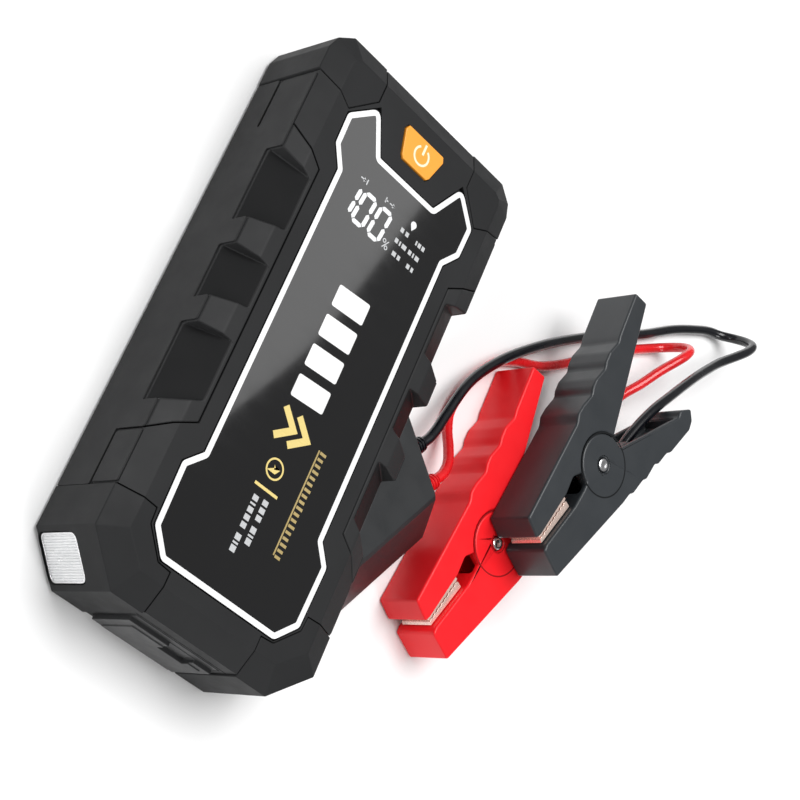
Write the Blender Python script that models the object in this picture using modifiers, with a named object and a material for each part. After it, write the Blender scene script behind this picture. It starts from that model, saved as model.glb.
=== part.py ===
"""Jump starter pack lying on its back, with a plug-in lead module and two battery clamps.

Frame: origin at the centre line of the pack's back face, +Z out of the front face,
+Y toward the button end, +X toward the side that takes the lead.
All driving dimensions below are in millimetres and are scaled to metres when built.
"""
import bpy
import bmesh
import math
from mathutils import Matrix, Vector

MM = 0.001
GAP = 0.3                # clearance between neighbouring pieces

# ---- pack body ----
HALF_W = 41.8            # half width of the case body
Y_BOTTOM = -89.4         # bottom end (port end)
Y_TOP = 91.6             # top end (button end)
DEPTH = 32.4             # back plane to front face
Z_CHAMFER = 29.2         # where the front chamfer starts
WALL = 2.6               # side wall thickness
FLOOR = 2.2              # back wall thickness
FACE_T = 2.8             # front wall thickness
GUARD_PROUD = 0.6        # corner guards stand out of the walls
GUARD_T = 1.5            # depth of the recess that each guard sits in
CORNER_X, CORNER_Y = 12.56, 12.24    # cut corners at the port end
FACE_W = 34.7            # half width of the flat front face
FACE_Y0, FACE_Y1 = -82.0, 85.4
Z_SPLIT = 12.5           # parting height along the sides
Z_SPLIT_END = 24.5       # parting height at the port end
Z_SPLIT_LOW = 17.2       # parting height beside the lower corner guards

# ---- grip rails ----
RAIL_IN = 29.6           # inner edge of the rail on the front face
RAIL_TOP, RAIL_TOP_OUT = 47.1, 55.2
RAIL_BOT, RAIL_BOT_OUT = -38.5, -47.8
NOTCH_IN = 31.0
# (inner upper y, inner lower y, outer upper y, outer lower y) of the three finger notches
NOTCHES = [(42.1, 24.6, 46.6, 22.0), (11.9, -1.8, 12.9, -4.6), (-13.2, -31.9, -13.4, -38.2)]

# ---- display panel, half outline from the port end upward ----
PANEL_HALF = [(21.5, -75.5), (27.4, -68.9), (28.0, -50.4), (23.0, -44.7), (23.2, 52.0),
              (27.7, 58.3), (28.0, 68.2), (19.7, 76.1), (12.9, 63.7)]
PANEL_MARGIN = 1.0
PANEL_Z = 31.0

# ---- button ----
BUTTON = [(-5.4, 69.9), (5.4, 69.9), (6.3, 70.9), (8.7, 78.8), (7.9, 80.5),
          (-7.9, 80.5), (-8.7, 78.8), (-6.3, 70.9)]
BUTTON_TRAVEL = 0.8

# ---- lamp in the cut corner ----
LAMP_W, LAMP_H, LAMP_Z = 14.0, 16.8, 10.0

# ---- port end ----
COVER_HALF_W, COVER_Z0, COVER_Z1 = 15.5, 3.0, 23.2
COVER_PROUD = 1.8        # the cover stands out of the port end

# ---- lead socket, plug and module ----
PLUG_Y, PLUG_Z = -16.0, 7.4
PLUG_W, PLUG_H = 15.6, 6.8
PIN_PITCH = 8.4
MODULE_Z = (1.0, 8.0, 20.0)      # underside, flank start, top face
MODULE_BASE = [(43.6, 12.7), (43.6, -56.0), (54.2, -56.0), (77.0, -11.6), (76.2, -10.2)]
MODULE_TOP = [(43.6, 12.7), (43.6, -46.8), (45.0, -45.4), (66.2, -3.9), (65.4, -2.6)]
MODULE_INNER_BASE = [(46.0, 8.0), (46.0, -53.4), (52.8, -53.4), (73.8, -11.9)]
MODULE_INNER_TOP = [(46.0, 8.0), (46.0, -41.0), (47.0, -39.0), (62.3, -4.2)]
EXIT_DIR = Vector((0.575, 0.818, 0.0)).normalized()
EXIT_Z = 12.0
EXIT_BLACK = (54.5, 5.0)
EXIT_RED = (64.8, -2.2)
RELIEF_L = 8.0

# ---- cords ----
CORD_D = 3.5
RED_ROUTE = [(69.75, 4.95, 12.0), (71.8, 8.2, 11.7), (73.1, 13.0, 10.4), (73.2, 19.0, 7.6), (72.6, 25.5, 4.4),
             (72.3, 32.0, 2.4), (73.4, 39.0, 2.0), (75.6, 46.0, 2.0), (78.8, 52.6, 2.0), (83.0, 58.9, 2.0),
             (90.0, 63.9, 2.0), (100.3, 68.8, 2.0), (109.8, 75.8, 2.0), (121.4, 86.6, 2.0),
             (137.0, 100.1, 2.0), (145.9, 106.8, 2.0), (150.4, 110.0, 3.4), (152.9, 111.4, 7.3),
             (153.4, 111.0, 11.9), (152.1, 108.5, 15.8), (149.2, 104.0, 17.4), (142.9, 93.8, 14.6),
             (139.2, 86.2, 11.6), (134.8, 78.9, 9.2), (122.8, 56.0, 7.6), (117.6, 42.0, 7.2),
             (115.0, 30.0, 7.8), (113.8, 21.0, 8.5), (112.3, 15.0, 8.6), (111.6, 13.1, 8.6)]
BLACK_ROUTE = [(59.4, 12.0, 12.0), (61.0, 14.5, 11.9), (62.8, 18.8, 11.4), (64.8, 25.6, 10.5),
               (70.3, 42.1, 8.6), (79.6, 56.6, 7.4), (94.8, 73.0, 5.6), (112.0, 88.1, 3.6),
               (126.6, 99.5, 2.3), (140.2, 109.1, 2.0), (154.4, 120.8, 2.0), (162.6, 126.5, 2.0),
               (171.8, 132.0, 2.0), (177.3, 133.6, 3.5), (180.7, 133.9, 7.6), (182.0, 132.7, 12.4),
               (181.2, 130.0, 16.5), (178.1, 125.5, 18.2), (165.1, 111.6, 18.8), (158.4, 103.9, 20.4),
               (152.5, 96.8, 22.2), (145.8, 88.0, 24.2), (140.0, 79.8, 25.6), (135.1, 72.3, 26.2),
               (131.0, 64.0, 26.2), (128.2, 56.6, 26.1), (126.9, 52.4, 26.1), (126.3, 50.5, 26.1)]

# ---- clamps ----
CLAMP_T = 17.2
RED_PIVOT = (99.0, -1.2, 0.0)
BLACK_PIVOT = (113.7, 36.2, 17.5)
ARM_UPPER = [(-22.2, -32.8), (-15.7, -36.4), (-14.6, -34.4), (-10.5, -17.2), (-10.4, -10.8),
             (-4.0, -4.0), (0.3, 9.4), (-6.9, 58.9), (-13.3, 58.9), (-13.4, 42.0),
             (-12.9, 39.4), (-14.9, 34.2), (-15.0, 30.2), (-14.3, 28.2), (-16.3, 22.8),
             (-16.4, 19.4), (-15.6, 17.2), (-17.6, 11.6), (-18.2, 8.0), (-17.2, 5.2)]
ARM_UPPER_CUT = [(-16.4, -9.6), (30.0, -9.6), (30.0, 56.3), (-10.7, 56.3), (-10.5, 38.5),
                 (-11.6, 27.2), (-12.9, 16.0), (-14.4, 5.0)]
ARM_LOWER = [(-11.1, -38.2), (-1.8, -42.3), (14.5, -5.7), (16.0, -1.3), (17.4, -0.2),
             (19.6, 6.2), (20.9, 7.4), (22.3, 14.2), (23.8, 15.0), (25.8, 20.4),
             (27.6, 22.0), (32.3, 33.7), (32.0, 37.2), (29.5, 40.5), (24.8, 36.9),
             (25.2, 34.5), (5.0, 9.7), (-3.0, 3.0), (-4.2, -12.0), (-5.4, -18.7), (-11.1, -35.8)]
ARM_LOWER_CUT = [(-30.0, -13.0), (8.2, -13.0), (13.0, -0.5), (16.4, 7.4), (18.9, 15.4),
                 (22.2, 22.0), (27.2, 31.5), (23.5, 34.3), (-30.0, 34.3)]
DISC_R = 10.3
EAR_R = 9.4
CHEEK = 2.2
EAR_T = 4.7
PIN_R = 2.2
ANCHOR = (10.5, 11.0)
ANCHOR_DIR = Vector((0.55, 0.835, 0.0)).normalized()

# ---- colours: base colour, roughness, metallic ----
CASE = ((0.030, 0.031, 0.033), 0.50, 0.0)
CASE_LIGHT = ((0.050, 0.051, 0.054), 0.52, 0.0)
GUARD = ((0.036, 0.037, 0.039), 0.58, 0.0)
LENS = ((0.006, 0.006, 0.007), 0.06, 0.0)
ORANGE = ((0.88, 0.16, 0.012), 0.38, 0.0)
CLEAR = ((0.83, 0.85, 0.86), 0.15, 0.0)
SILVER = ((0.72, 0.72, 0.73), 0.22, 1.0)
STEEL = ((0.60, 0.60, 0.62), 0.30, 1.0)
COPPER = ((0.86, 0.42, 0.25), 0.26, 1.0)
BRASS = ((0.82, 0.62, 0.26), 0.28, 1.0)
BOARD = ((0.02, 0.11, 0.05), 0.45, 0.0)
POUCH = ((0.55, 0.57, 0.60), 0.35, 0.6)
RED = ((0.78, 0.030, 0.028), 0.36, 0.0)
SLATE = ((0.065, 0.072, 0.078), 0.40, 0.0)
BLUE = ((0.02, 0.06, 0.30), 0.40, 0.0)
CORD_RED = ((0.72, 0.012, 0.015), 0.28, 0.0)
CORD_BLACK = ((0.012, 0.012, 0.013), 0.24, 0.0)


def clear_scene():
    for obj in list(bpy.data.objects):
        bpy.data.objects.remove(obj, do_unlink=True)


def collection(name):
    coll = bpy.data.collections.new(name)
    bpy.context.scene.collection.children.link(coll)
    return coll


clear_scene()
PARTS = collection("jump_starter_pack")
CUTTERS = collection("cutters")


def make_material(name, look):
    mat = bpy.data.materials.new(name)
    mat.use_nodes = True
    shader = mat.node_tree.nodes["Principled BSDF"]
    colour, rough, metal = look
    shader.inputs["Base Color"].default_value = (*colour, 1.0)
    shader.inputs["Roughness"].default_value = rough
    shader.inputs["Metallic"].default_value = metal
    mat.diffuse_color = (*colour, 1.0)
    return mat


def place(obj, look=None):
    """Put a piece in the parts collection with its own material, or a cutter among the cutters."""
    target = PARTS if look else CUTTERS
    for coll in list(obj.users_collection):
        coll.objects.unlink(obj)
    target.objects.link(obj)
    if look:
        obj.data.materials.clear()
        obj.data.materials.append(make_material(obj.name + "_mat", look))
    else:
        obj.hide_render = True
        obj.display_type = 'WIRE'
    return obj


def to_mesh(obj, name):
    """Turn a curve object into a closed mesh object of the same place."""
    deps = bpy.context.evaluated_depsgraph_get()
    mesh = bpy.data.meshes.new_from_object(obj.evaluated_get(deps))
    bm = bmesh.new()
    bm.from_mesh(mesh)
    bmesh.ops.remove_doubles(bm, verts=bm.verts, dist=0.00001)
    bmesh.ops.dissolve_limit(bm, angle_limit=0.001, verts=bm.verts, edges=bm.edges)
    bmesh.ops.recalc_face_normals(bm, faces=bm.faces)
    bm.to_mesh(mesh)
    bm.free()
    out = bpy.data.objects.new(name, mesh)
    out.matrix_world = obj.matrix_world.copy()
    bpy.context.scene.collection.objects.link(out)
    bpy.data.objects.remove(obj, do_unlink=True)
    return out


def outline(name, loops, z0, z1, look=None, frame=None):
    """Solid of a flat outline (or an outline with holes) between two heights."""
    if not isinstance(loops[0][0], (tuple, list)):
        loops = [loops]
    curve = bpy.data.curves.new(name + "_outline", 'CURVE')
    curve.dimensions = '2D'
    curve.fill_mode = 'BOTH'
    curve.extrude = 0.5 * (z1 - z0) * MM
    for pts in loops:
        spline = curve.splines.new('POLY')
        spline.points.add(len(pts) - 1)
        for point, (x, y) in zip(spline.points, pts):
            point.co = (x * MM, y * MM, 0.0, 1.0)
        spline.use_cyclic_u = True
    obj = bpy.data.objects.new(name + "_curve", curve)
    bpy.context.scene.collection.objects.link(obj)
    shift = Matrix.Translation((0.0, 0.0, 0.5 * (z0 + z1) * MM))
    obj.matrix_world = (frame @ shift) if frame else shift
    bpy.context.view_layer.update()
    return place(to_mesh(obj, name), look)


def box(name, lo, hi, look=None, frame=None, bevel=0.0):
    """Box between two corners, with its scale applied."""
    bm = bmesh.new()
    bmesh.ops.create_cube(bm, size=1.0)
    size = [(hi[i] - lo[i]) * MM for i in range(3)]
    centre = [(hi[i] + lo[i]) * 0.5 * MM for i in range(3)]
    bmesh.ops.scale(bm, vec=size, verts=bm.verts)
    bmesh.ops.translate(bm, vec=centre, verts=bm.verts)
    return finish(bm, name, look, frame, bevel)


def finish(bm, name, look, frame, bevel):
    mesh = bpy.data.meshes.new(name)
    bm.to_mesh(mesh)
    bm.free()
    obj = bpy.data.objects.new(name, mesh)
    bpy.context.scene.collection.objects.link(obj)
    if frame:
        obj.matrix_world = frame
    if bevel:
        add_bevel(obj, bevel)
    return place(obj, look)


def add_bevel(obj, width, segments=1, angle=35.0):
    mod = obj.modifiers.new("edge", 'BEVEL')
    mod.width = width * MM
    mod.segments = segments
    mod.limit_method = 'ANGLE'
    mod.angle_limit = math.radians(angle)


def cylinder(name, centre, z0, z1, r0, r1=None, look=None, frame=None, sides=24, bevel=0.0):
    """Round bar or cone along the frame's Z."""
    bm = bmesh.new()
    bmesh.ops.create_cone(bm, cap_ends=True, segments=sides, radius1=r0 * MM,
                          radius2=(r0 if r1 is None else r1) * MM, depth=(z1 - z0) * MM)
    for face in bm.faces:
        face.smooth = len(face.verts) == 4
    bmesh.ops.translate(bm, vec=(centre[0] * MM, centre[1] * MM, 0.5 * (z0 + z1) * MM),
                        verts=bm.verts)
    return finish(bm, name, look, frame, bevel)


def set_origin(obj, point):
    """Put a piece's origin at a point without moving the piece."""
    shift = Vector(point) * MM
    obj.data.transform(Matrix.Translation(-shift))
    obj.matrix_world = Matrix.Translation(shift)


def boolean(obj, cutter, operation='DIFFERENCE'):
    mod = obj.modifiers.new(operation.lower(), 'BOOLEAN')
    mod.operation = operation
    mod.solver = 'EXACT'
    mod.object = cutter
    if cutter.name in PARTS.objects:
        raise RuntimeError("cutter is a part: " + cutter.name)


def mirrored(pts):
    return [(-x, y) for x, y in reversed(pts)]


def offset_outline(pts, distance):
    """Move every side of a polygon outward by a distance, with mitred corners."""
    area = sum(pts[i][0] * pts[(i + 1) % len(pts)][1] - pts[(i + 1) % len(pts)][0] * pts[i][1]
               for i in range(len(pts)))
    sign = 1.0 if area > 0 else -1.0
    out = []
    for i, point in enumerate(pts):
        before = Vector(pts[i - 1])
        here = Vector(point)
        after = Vector(pts[(i + 1) % len(pts)])
        d0 = (here - before).normalized()
        d1 = (after - here).normalized()
        n0 = Vector((d0.y, -d0.x)) * sign
        n1 = Vector((d1.y, -d1.x)) * sign
        bisector = (n0 + n1).normalized()
        shift = bisector * (distance / max(0.3, bisector.dot(n0)))
        out.append((here.x + shift.x, here.y + shift.y))
    return out


def loft(name, rings, look=None, frame=None):
    """Closed solid through rings of equal count; each ring is (points, z)."""
    bm = bmesh.new()
    layers = []
    for pts, z in rings:
        layers.append([bm.verts.new((x * MM, y * MM, z * MM)) for x, y in pts])
    count = len(layers[0])
    bm.faces.new(list(reversed(layers[0])))
    bm.faces.new(layers[-1])
    for low, high in zip(layers[:-1], layers[1:]):
        for i in range(count):
            j = (i + 1) % count
            bm.faces.new((low[i], low[j], high[j], high[i]))
    bmesh.ops.recalc_face_normals(bm, faces=bm.faces)
    return finish(bm, name, look, frame, 0.0)


# ------------------------------------------------------------------ case outline
CASE_HALF = [(HALF_W - CORNER_X, Y_BOTTOM), (HALF_W, Y_BOTTOM + CORNER_Y), (HALF_W, Y_TOP - 8.0),
             (HALF_W - 1.5, Y_TOP - 3.8), (HALF_W - 6.4, Y_TOP)]
FACE_HALF = [(26.0, FACE_Y0), (FACE_W, FACE_Y0 + 8.2), (FACE_W, FACE_Y1 - 3.0),
             (FACE_W - 0.8, FACE_Y1 - 1.0), (FACE_W - 2.8, FACE_Y1)]
CASE_RING = CASE_HALF + mirrored(CASE_HALF)
FACE_RING = FACE_HALF + mirrored(FACE_HALF)


def case_solid(name, grow, z0, z_side, z1, face_grow, look=None, edge=1.0):
    rings = [(offset_outline(CASE_RING, grow - edge), z0),
             (offset_outline(CASE_RING, grow), z0 + edge),
             (offset_outline(CASE_RING, grow), z_side),
             (offset_outline(FACE_RING, face_grow), z1)]
    return loft(name, rings, look)


def side_profile(name, pts, look=None):
    """Prism of a (y, z) outline right across the pack."""
    frame = Matrix(((0, 0, 1, 0), (1, 0, 0, 0), (0, 1, 0, 0), (0, 0, 0, 1)))
    return outline(name, pts, -60.0, 60.0, look, frame)


def cross_section(name, pts, y0, y1, look=None):
    """Prism of an (x, z) outline along the pack's length."""
    frame = Matrix(((1, 0, 0, 0), (0, 0, -1, 0), (0, 1, 0, 0), (0, 0, 0, 1)))
    return outline(name, pts, -y1, -y0, look, frame)


# corner guard zones in plan
GUARD_TOP = [(21.0, 99.0), (21.0, 79.0), (29.5, 69.9), (34.2, 72.4), (50.0, 78.4), (50.0, 99.0)]
GUARD_BOT = [(17.7, -99.0), (50.0, -99.0), (50.0, -64.8), (34.6, -64.9), (29.9, -65.2),
             (29.5, -69.7), (22.4, -77.3), (17.7, -77.7)]
GUARD_ZONES = {"corner_guard_top_right": GUARD_TOP, "corner_guard_top_left": mirrored(GUARD_TOP),
               "corner_guard_bottom_right": GUARD_BOT,
               "corner_guard_bottom_left": mirrored(GUARD_BOT)}

# rail zone in plan
RAIL_ZONE = [(RAIL_IN, RAIL_BOT), (36.2, -42.6), (50.0, -54.0), (50.0, 59.9), (35.2, 50.9),
             (RAIL_IN, RAIL_TOP)]
RAIL_ENDS = [(25.0, -35.6), (36.2, -42.6), (50.0, -54.0), (50.0, 59.9), (35.2, 50.9), (25.0, 44.0)]
RAIL_SECTION = [(RAIL_IN, 29.2), (30.6, 29.2), (HALF_W - 2.2, 20.8), (HALF_W - 2.2, Z_SPLIT + 0.1),
                (HALF_W, Z_SPLIT + 0.1), (HALF_W, Z_CHAMFER), (FACE_W, DEPTH), (RAIL_IN, DEPTH)]

# lamp frame: X along the cut corner, Y up the wall, Z out of the wall
p0 = Vector((-HALF_W, Y_BOTTOM + CORNER_Y, 0.0))
p1 = Vector((-HALF_W + CORNER_X, Y_BOTTOM, 0.0))
along = (p1 - p0).normalized()
outward = along.cross(Vector((0, 0, 1))).normalized()
mid = (p0 + p1) * 0.5
LAMP_FRAME = Matrix(((along.x, 0, outward.x, mid.x * MM), (along.y, 0, outward.y, mid.y * MM),
                     (0, 1, 0, LAMP_Z * MM), (0, 0, 0, 1)))


def rounded_rect(w, h, r, steps=3, cx=0.0, cy=0.0):
    pts = []
    for sx, sy, start in ((1, -1, -90), (1, 1, 0), (-1, 1, 90), (-1, -1, 180)):
        for k in range(steps + 1):
            a = math.radians(start + 90.0 * k / steps)
            pts.append((cx + sx * (0.5 * w - r) + r * math.cos(a),
                        cy + sy * (0.5 * h - r) + r * math.sin(a)))
    return pts


# ------------------------------------------------------------------ shared cutters
core = case_solid("cut_core", -GUARD_T, -2.0, 28.2, 30.9, -0.4, edge=0.0001)
core_wide = case_solid("cut_core_wide", -GUARD_T + GAP, -2.0, 28.5, 31.2, -0.2, edge=0.0001)
cavity = case_solid("cut_cavity", -WALL, FLOOR, 27.0, DEPTH - FACE_T, -1.2, edge=0.3)

guard_recesses = []
for key, zone in GUARD_ZONES.items():
    cut = outline("cut_" + key, offset_outline(zone, GAP), -5.0, 40.0)
    boolean(cut, core)
    guard_recesses.append(cut)

rail_cuts = []
for side, zone in (("right", RAIL_ZONE), ("left", mirrored(RAIL_ZONE))):
    rail_cuts.append(outline("cut_rail_" + side, offset_outline(zone, GAP), Z_SPLIT - 0.2, 40.0))

lamp_cut = outline("cut_lamp", rounded_rect(LAMP_W + 0.6, LAMP_H + 0.6, 1.9), -12.0, 4.0,
                   frame=LAMP_FRAME)

front_zone = side_profile("zone_front", [(-100, Z_SPLIT_END), (-75, Z_SPLIT_END),
                                         (-75, Z_SPLIT_LOW), (-48, Z_SPLIT_LOW),
                                         (-48, Z_SPLIT), (100, Z_SPLIT), (100, 45), (-100, 45)])
rear_zone = side_profile("zone_rear", [(-100, -5), (100, -5), (100, Z_SPLIT - GAP),
                                       (-48.3, Z_SPLIT - GAP), (-48.3, Z_SPLIT_LOW - GAP),
                                       (-75.3, Z_SPLIT_LOW - GAP), (-75.3, Z_SPLIT_END - GAP),
                                       (-100, Z_SPLIT_END - GAP)])

SCREWS = [(33.6, 63.2), (-33.6, 63.2), (33.6, -57.6), (-33.6, -57.6)]


# ------------------------------------------------------------------ rear shell
def build_rear_shell():
    shell = case_solid("rear_shell", 0.0, 0.0, Z_CHAMFER, DEPTH, 0.0, CASE)
    for cut in guard_recesses:
        boolean(shell, cut)
    boolean(shell, cavity)
    for cut in rail_cuts:
        boolean(shell, cut)
    boolean(shell, rear_zone, 'INTERSECT')
    thick = box("add_port_wall", (-19.0, -87.5, 1.5), (19.0, -84.4, Z_SPLIT_END - GAP))
    boolean(shell, thick, 'UNION')
    recess = box("cut_cover_recess", (-COVER_HALF_W - GAP, -95.0, COVER_Z0 - GAP),
                 (COVER_HALF_W + GAP, Y_BOTTOM + 2.0, COVER_Z1 + GAP))
    boolean(shell, recess)
    for i, (x, y) in enumerate(SCREWS):
        top = 11.8 if y > 0 else 16.4
        boss = cylinder("add_boss_%d" % i, (x, y), 1.2, top, 4.4)
        head = cylinder("cut_head_%d" % i, (x, y), -2.0, 3.3, 3.2)
        hole = cylinder("cut_shank_%d" % i, (x, y), 2.0, 20.0, 1.6)
        boolean(shell, boss, 'UNION')
        boolean(shell, head)
        boolean(shell, hole)
    boolean(shell, lamp_cut)
    window = box("cut_socket_window", (36.0, PLUG_Y - 10.1, PLUG_Z - 4.9),
                 (46.0, PLUG_Y + 10.1, 20.0))
    boolean(shell, window)
    for name, cx, cz, w, h in PORT_HOLES:
        hole = box("cut_" + name, (cx - 0.5 * w, -92.0, cz - 0.5 * h),
                   (cx + 0.5 * w, -80.0, cz + 0.5 * h))
        boolean(shell, hole)
    return shell


PORT_HOLES = [("port_usb_a_1", -8.2, 16.4, 14.0, 6.5), ("port_usb_a_2", 8.2, 16.4, 14.0, 6.5),
              ("port_usb_c", -8.2, 8.9, 9.8, 4.0), ("port_dc", 8.2, 7.2, 8.8, 7.6)]
build_rear_shell()


# ------------------------------------------------------------------ front shell
PANEL_RING = PANEL_HALF + mirrored(PANEL_HALF)


def build_front_shell():
    shell = case_solid("front_shell", 0.0, 0.0, Z_CHAMFER, DEPTH, 0.0, CASE)
    for cut in guard_recesses:
        boolean(shell, cut)
    boolean(shell, cavity)
    for cut in rail_cuts:
        boolean(shell, cut)
    boolean(shell, front_zone, 'INTERSECT')
    pocket = outline("cut_panel", offset_outline(PANEL_RING, PANEL_MARGIN + GAP), PANEL_Z - GAP,
                     40.0)
    boolean(shell, pocket)
    window = box("cut_display", (-20.0, 30.0, 20.0), (20.0, 58.0, 40.0))
    boolean(shell, window)
    hole = outline("cut_button", offset_outline(BUTTON, GAP), 20.0, 40.0)
    boolean(shell, hole)
    for i, (x, y) in enumerate(SCREWS):
        low = 12.8 if y > 0 else 17.6
        post = cylinder("add_post_%d" % i, (x, y), low, 29.9, 3.5)
        hole = cylinder("cut_post_%d" % i, (x, y), low - 2.0, 24.0, 1.5)
        boolean(shell, post, 'UNION')
        boolean(shell, hole)
    return shell


build_front_shell()

# ------------------------------------------------------------------ corner guards
for key, zone in GUARD_ZONES.items():
    guard = case_solid(key, GUARD_PROUD, 0.0, Z_CHAMFER - 0.2, DEPTH, 0.0, GUARD, edge=1.2)
    boolean(guard, outline("zone_" + key, zone, -5.0, 40.0), 'INTERSECT')
    boolean(guard, core_wide)
    if key.endswith("bottom_left"):
        boolean(guard, lamp_cut)

# ------------------------------------------------------------------ grip rails
for side, sign in (("right", 1), ("left", -1)):
    section = RAIL_SECTION if sign > 0 else mirrored(RAIL_SECTION)
    zone = RAIL_ENDS if sign > 0 else mirrored(RAIL_ENDS)
    rail = cross_section("grip_rail_" + side, section, -60.0, 65.0, CASE_LIGHT)
    boolean(rail, outline("zone_rail_" + side, zone, 0.0, 45.0), 'INTERSECT')
    for k, (in_up, in_low, out_up, out_low) in enumerate(NOTCHES):
        reach = 46.0
        grow = (reach - NOTCH_IN) / (HALF_W - NOTCH_IN)
        y_up = in_up + (out_up - in_up) * grow
        y_low = in_low + (out_low - in_low) * grow
        z_out = DEPTH - (DEPTH - 23.4) * grow
        bm = bmesh.new()
        bmesh.ops.create_cube(bm, size=1.0)
        for v in bm.verts:
            inner = v.co.x < 0
            upper = v.co.y > 0
            top = v.co.z > 0
            x = NOTCH_IN - 1.2 if inner else reach
            if inner:
                y = in_up if upper else in_low
                z = 40.0 if top else DEPTH + 1.0
            else:
                y = y_up if upper else y_low
                z = 40.0 if top else z_out
            v.co = (sign * x * MM, y * MM, z * MM)
        bmesh.ops.recalc_face_normals(bm, faces=bm.faces)
        boolean(rail, finish(bm, "cut_notch_%s_%d" % (side, k), None, None, 0.0))

# ------------------------------------------------------------------ display panel
outline("display_panel", offset_outline(PANEL_RING, PANEL_MARGIN), PANEL_Z, DEPTH, LENS)
box("display_module", (-19.0, 31.0, 26.6), (19.0, 57.0, 29.4), CASE)

# ------------------------------------------------------------------ power button and switch
button = outline("power_button", BUTTON, 28.7, DEPTH + 0.6, ORANGE)
boolean(button, outline("add_button_flange", offset_outline(BUTTON, 1.2), 27.9, 29.2), 'UNION')
switch = box("button_switch", (-3.0, 72.2, 26.4), (3.0, 78.2, 26.9), STEEL)
boolean(switch, cylinder("add_plunger", (0.0, 75.2), 26.6, 27.0, 1.6), 'UNION')

# ------------------------------------------------------------------ boards and cells
board = box("main_board", (-29.0, 20.0, 24.5), (29.0, 84.0, 26.1), BOARD)
for i, (x, y, w, h) in enumerate(((-18, 68, 9, 9), (16, 69, 12, 7), (22, 52, 6, 10))):
    boolean(board, box("add_chip_%d" % i, (x - w / 2, y - h / 2, 25.5), (x + w / 2, y + h / 2, 27.6)),
            'UNION')
CELL_T = 6.6
for i in range(3):
    z = 2.6 + i * (CELL_T + GAP)
    box("battery_cell_%d" % (i + 1), (-29.0, -46.0, z), (21.0, 58.0, z + CELL_T), POUCH, bevel=1.2)
busbar = box("cell_busbar", (21.3, 40.0, 4.0), (21.9, 56.0, 22.4), STEEL)
box("cell_foam", (-28.0, -40.0, 23.4), (20.0, 16.0, 26.0), CASE)

# ------------------------------------------------------------------ ports
box("port_board", (-17.0, -86.0 + 2.0, 11.8), (17.0, -52.0, 13.0), BOARD)


def usb_a(name, cx, z0):
    body = box(name, (cx - 6.6, -87.0, z0), (cx + 6.6, -73.0, z0 + 5.8), STEEL)
    boolean(body, box("cut_" + name + "_mouth", (cx - 6.1, -90.0, z0 + 0.5),
                      (cx + 6.1, -76.0, z0 + 5.3)))
    boolean(body, box("add_" + name + "_tongue", (cx - 5.5, -86.2, z0 + 2.9),
                      (cx + 5.5, -75.0, z0 + 4.6)), 'UNION')


usb_a("usb_a_1", -8.2, 13.5)
usb_a("usb_a_2", 8.2, 13.5)
usb_c = outline("usb_c", rounded_rect(9.0, 3.2, 1.4, 4), 0.0, 9.0, STEEL,
                Matrix(((1, 0, 0, -8.2 * MM), (0, 0, 1, -87.0 * MM), (0, 1, 0, 8.9 * MM),
                        (0, 0, 0, 1))) @ Matrix.Rotation(0.0, 4, 'Z'))
boolean(usb_c, outline("cut_usb_c", rounded_rect(8.3, 2.5, 1.1, 4), -1.0, 7.5,
                       frame=Matrix(((1, 0, 0, -8.2 * MM), (0, 0, 1, -87.0 * MM),
                                     (0, 1, 0, 8.9 * MM), (0, 0, 0, 1)))))
boolean(usb_c, box("add_usb_c_tongue", (-11.4, -86.4, 8.6), (-5.0, -79.0, 9.2)), 'UNION')
dc = box("dc_jack", (4.2, -87.0, 3.8), (12.2, -75.0, 10.8), CASE)
to_y = Matrix(((1, 0, 0, 0), (0, 0, 1, 0), (0, 1, 0, 0), (0, 0, 0, 1)))
boolean(dc, cylinder("cut_dc_bore", (8.2, 7.3), -90.0, -78.0, 2.8, frame=to_y))
boolean(dc, cylinder("add_dc_pin", (8.2, 7.3), -86.0, -77.0, 1.0, frame=to_y, sides=12), 'UNION')

cover = box("port_cover", (-COVER_HALF_W, Y_BOTTOM - COVER_PROUD + 0.4, COVER_Z0),
            (COVER_HALF_W, Y_BOTTOM + 1.6, COVER_Z1), CASE_LIGHT)
set_origin(cover, (0.0, Y_BOTTOM - COVER_PROUD, COVER_Z0))
boolean(cover, box("add_cover_pad", (-12.4, Y_BOTTOM - COVER_PROUD, COVER_Z0 + 0.8),
                   (13.4, Y_BOTTOM, 18.4)), 'UNION')
boolean(cover, box("cut_cover_tab", (-0.6, Y_BOTTOM - COVER_PROUD - 2.0, 15.6),
                   (8.8, Y_BOTTOM - 0.3, 26.0)))
boolean(cover, box("cut_cover_step", (-COVER_HALF_W - 2.0, Y_BOTTOM - COVER_PROUD - 2.0, 20.6),
                   (COVER_HALF_W + 2.0, Y_BOTTOM - 0.1, 26.0)))

# ------------------------------------------------------------------ lamp
outline("lamp_bezel", [rounded_rect(LAMP_W, LAMP_H, 1.6), rounded_rect(LAMP_W - 2.4, LAMP_H - 2.4, 0.9)],
        -4.5, 0.2, SILVER, LAMP_FRAME)
lens = outline("lamp_lens", rounded_rect(LAMP_W - 3.0, LAMP_H - 3.0, 0.7), -1.4, -0.2, CLEAR,
               LAMP_FRAME)
for k in range(9):
    rib_y = -6.0 + 1.5 * k
    boolean(lens, box("cut_lamp_rib_%d" % k, (-4.9, rib_y - 0.35, -0.5), (4.9, rib_y + 0.35, 0.4),
                      frame=LAMP_FRAME))
reflector = outline("lamp_reflector", rounded_rect(LAMP_W - 3.0, LAMP_H - 3.0, 0.7), -4.2, -1.8,
                    SILVER, LAMP_FRAME)
boolean(reflector, cylinder("cut_reflector", (0.0, 0.0), -4.6, -1.5, 2.2, 5.2, frame=LAMP_FRAME))
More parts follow.
